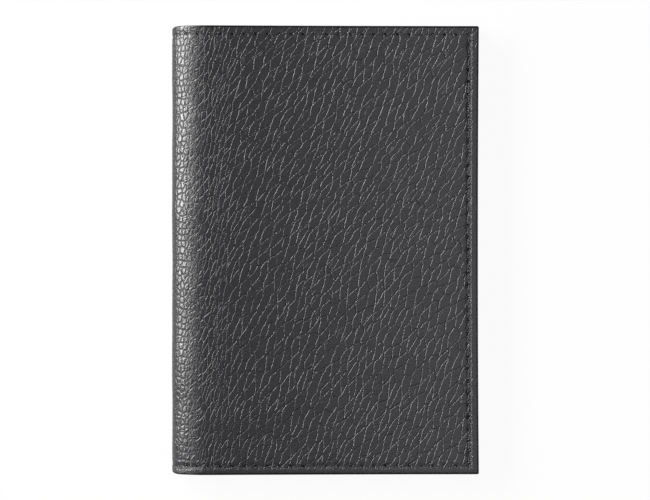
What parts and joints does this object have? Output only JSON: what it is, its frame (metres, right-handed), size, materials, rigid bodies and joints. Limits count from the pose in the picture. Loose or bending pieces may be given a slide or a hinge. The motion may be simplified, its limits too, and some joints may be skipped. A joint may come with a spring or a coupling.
{
  "type": "travel document cover",
  "caption": "Folding leather cover for a passport, with stitched edges, a rounded spine and an inner sleeve on each leaf that holds one cover of the booklet.",
  "frame": {"origin": "under the middle of the closed cover, on the outer face of the back leaf that it lies on", "axes": "+Y towards the head of the cover, +X from the spine towards the fore-edge, +Z from the back leaf towards the front leaf"},
  "size_m": [0.096, 0.14, 0.0109],
  "materials": {
    "grained_leather": "satin, pebbled grain",
    "lining_leather": "matt, fine smooth grain",
    "sleeve_leather": "satin, fine grain",
    "stiffener_board": "uncoated",
    "seam_thread": "waxed twist"
  },
  "bodies": {
    "back_leaf": {"back_shell": "grained_leather", "back_board": "stiffener_board", "back_lining": "lining_leather", "back_sleeve": "sleeve_leather", "back_needle_thread": "seam_thread", "back_bobbin_thread": "seam_thread"},
    "spine_strip_1": {"spine_shell_1": "grained_leather", "spine_lining_1": "lining_leather"},
    "spine_strip_2": {"spine_shell_2": "grained_leather", "spine_lining_2": "lining_leather"},
    "spine_strip_3": {"spine_shell_3": "grained_leather", "spine_lining_3": "lining_leather"},
    "spine_strip_4": {"spine_shell_4": "grained_leather", "spine_lining_4": "lining_leather"},
    "spine_strip_5": {"spine_shell_5": "grained_leather", "spine_lining_5": "lining_leather"},
    "spine_strip_6": {"spine_shell_6": "grained_leather", "spine_lining_6": "lining_leather"},
    "spine_strip_7": {"spine_shell_7": "grained_leather", "spine_lining_7": "lining_leather"},
    "front_leaf": {"front_shell": "grained_leather", "front_board": "stiffener_board", "front_lining": "lining_leather", "front_sleeve": "sleeve_leather", "front_needle_thread": "seam_thread", "front_bobbin_thread": "seam_thread"}
  },
  "joints": [
    {"name": "back_fold", "type": "hinge", "parent": "back_leaf", "child": "spine_strip_4", "pos_m": [-0.04703, 0, 0.00107], "axis": [0, -1, 0], "range_deg": [0, 91]},
    {"name": "front_fold", "type": "hinge", "parent": "spine_strip_4", "child": "front_leaf", "pos_m": [-0.04586, 0, 0.00938], "axis": [0, -1, 0], "range_deg": [0, 91]},
    {"name": "fold_line_1", "type": "hinge", "parent": "back_leaf", "child": "spine_strip_1", "pos_m": [-0.04461, 0, 0.00016], "axis": [0, -1, 0], "range_deg": [0, 30.33]},
    {"name": "fold_line_2", "type": "hinge", "parent": "spine_strip_1", "child": "spine_strip_2", "pos_m": [-0.0467, 0, 0.00139], "axis": [0, -1, 0], "range_deg": [0, 30.33]},
    {"name": "fold_line_3", "type": "hinge", "parent": "spine_strip_2", "child": "spine_strip_3", "pos_m": [-0.04787, 0, 0.00351], "axis": [0, -1, 0], "range_deg": [0, 30.33]},
    {"name": "fold_line_4", "type": "hinge", "parent": "spine_strip_4", "child": "spine_strip_5", "pos_m": [-0.04783, 0, 0.00576], "axis": [0, -1, 0], "range_deg": [0, 30.33]},
    {"name": "fold_line_5", "type": "hinge", "parent": "spine_strip_5", "child": "spine_strip_6", "pos_m": [-0.04671, 0, 0.00755], "axis": [0, -1, 0], "range_deg": [0, 30.33]},
    {"name": "fold_line_6", "type": "hinge", "parent": "spine_strip_6", "child": "spine_strip_7", "pos_m": [-0.04008, 0, 0.01058], "axis": [0, -1, 0], "range_deg": [0, 30.33]}
  ],
  "couplings": [
    {"joint": "front_fold", "follows": "back_fold", "ratio": 1},
    {"joint": "fold_line_1", "follows": "back_fold", "ratio": 0.33333},
    {"joint": "fold_line_2", "follows": "back_fold", "ratio": 0.33333},
    {"joint": "fold_line_3", "follows": "back_fold", "ratio": 0.33333},
    {"joint": "fold_line_4", "follows": "back_fold", "ratio": 0.33333},
    {"joint": "fold_line_5", "follows": "back_fold", "ratio": 0.33333},
    {"joint": "fold_line_6", "follows": "back_fold", "ratio": 0.33333}
  ]
}
